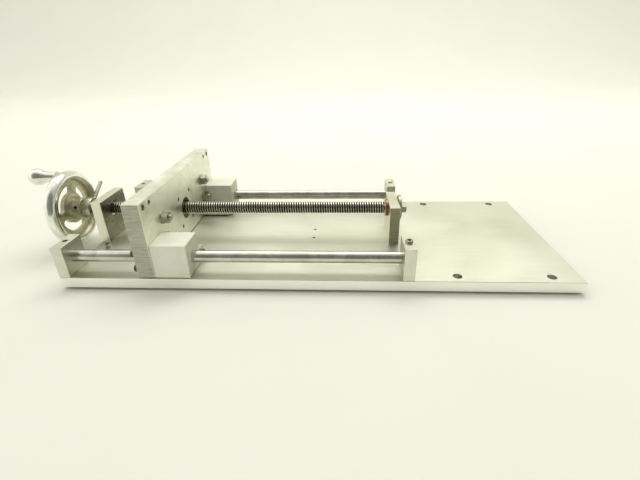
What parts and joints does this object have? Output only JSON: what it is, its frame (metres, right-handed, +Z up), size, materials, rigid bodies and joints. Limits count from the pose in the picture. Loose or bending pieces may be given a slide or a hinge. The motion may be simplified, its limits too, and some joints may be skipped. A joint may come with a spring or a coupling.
{
  "type": "ball screw slide",
  "caption": "Hand-turned ball screw slide: a cross plate on two guide rods over a long flat base, driven by a ball screw with a three-spoke handwheel.",
  "frame": {"origin": "centre of the base's four mounting holes, on the base's top face", "axes": "+X along the screw towards the free end of the base, away from the handwheel; +Z up, out of the base's top face; +Y across the base"},
  "size_m": [0.6769, 0.239, 0.1085],
  "materials": {
    "base_aluminium": "milled, satin",
    "plate_aluminium": "milled, mottled satin",
    "block_aluminium": "milled, satin",
    "support_aluminium": "ground, half gloss",
    "dark_steel": "blackened, oiled",
    "bearing_steel": "polished",
    "bronze": "turned, satin",
    "rod_steel": "ground and polished",
    "screw_steel": "ground",
    "zinc_steel": "zinc plated",
    "wheel_aluminium": "polished rim, cast web",
    "grip_aluminium": "polished",
    "collar_steel": "turned",
    "nut_steel": "ground, oiled",
    "wiper_plastic": "matt",
    "white_plastic": "satin, cream white"
  },
  "bodies": {
    "frame": {"base_plate": "base_aluminium", "rod_block_near_front": "block_aluminium", "rod_block_near_rear": "block_aluminium", "rod_block_far_front": "block_aluminium", "rod_block_far_rear": "block_aluminium", "rod_set_screws": "dark_steel", "rod_clamp_screw": "zinc_steel", "block_screws": "dark_steel", "support_screws": "dark_steel", "stop_screws": "zinc_steel", "near_screw_support": "support_aluminium", "far_screw_support": "support_aluminium", "bearing_outer_ring": "bearing_steel", "bronze_bush": "bronze", "guide_rod_front": "rod_steel", "guide_rod_rear": "rod_steel"},
    "screw": {"ball_screw": "screw_steel", "end_disc": "zinc_steel", "end_washer": "zinc_steel", "end_bolt": "zinc_steel", "handwheel": "wheel_aluminium", "wheel_set_screw": "dark_steel", "grip_pin": "zinc_steel", "grip_clip": "zinc_steel", "lock_collar": "collar_steel", "spacer_sleeve": "collar_steel", "bearing_inner_ring": "bearing_steel"},
    "cages": {"bearing_cage": "bearing_steel", "bearing_balls": "bearing_steel"},
    "grip": {"crank_grip": "grip_aluminium"},
    "lever": {"lock_lever": "zinc_steel"},
    "carriage": {"ball_nut": "nut_steel", "return_tube": "nut_steel", "tube_clamp": "nut_steel", "nut_wipers": "wiper_plastic", "nut_screws": "dark_steel", "carriage_plate": "plate_aluminium", "slide_block_front": "white_plastic", "slide_block_rear": "white_plastic", "side_bar_front": "block_aluminium", "side_bar_rear": "block_aluminium", "slide_block_screws": "dark_steel", "side_bar_screws": "dark_steel", "cross_bolts": "zinc_steel", "cross_washers": "zinc_steel", "cross_nuts": "zinc_steel"}
  },
  "joints": [
    {"name": "screw_turn", "type": "hinge", "parent": "frame", "child": "screw", "pos_m": [0, 0, 0.0381], "axis": [-1, 0, 0], "range_deg": [-4081.9, 26532.3]},
    {"name": "carriage_slide", "type": "slide", "parent": "frame", "child": "carriage", "axis": [1, 0, 0], "range_m": [-0.0361, 0.2341]},
    {"name": "cage_turn", "type": "hinge", "parent": "frame", "child": "cages", "pos_m": [0, 0, 0.0381], "axis": [-1, 0, 0], "range_deg": [-1672.8, 10652.9]},
    {"name": "grip_spin", "type": "hinge", "parent": "screw", "child": "grip", "pos_m": [-0.57, 0, 0.0818], "axis": [1, 0, 0], "continuous": true},
    {"name": "lever_turn", "type": "hinge", "parent": "screw", "child": "lever", "pos_m": [-0.5228, 0, 0.0381], "axis": [0, 0.8387, 0.5446], "range_deg": [0, 180]}
  ],
  "couplings": [
    {"joint": "carriage_slide", "follows": "screw_turn", "m_per_rad": 0.00050532},
    {"joint": "cage_turn", "follows": "screw_turn", "ratio": 0.4}
  ]
}
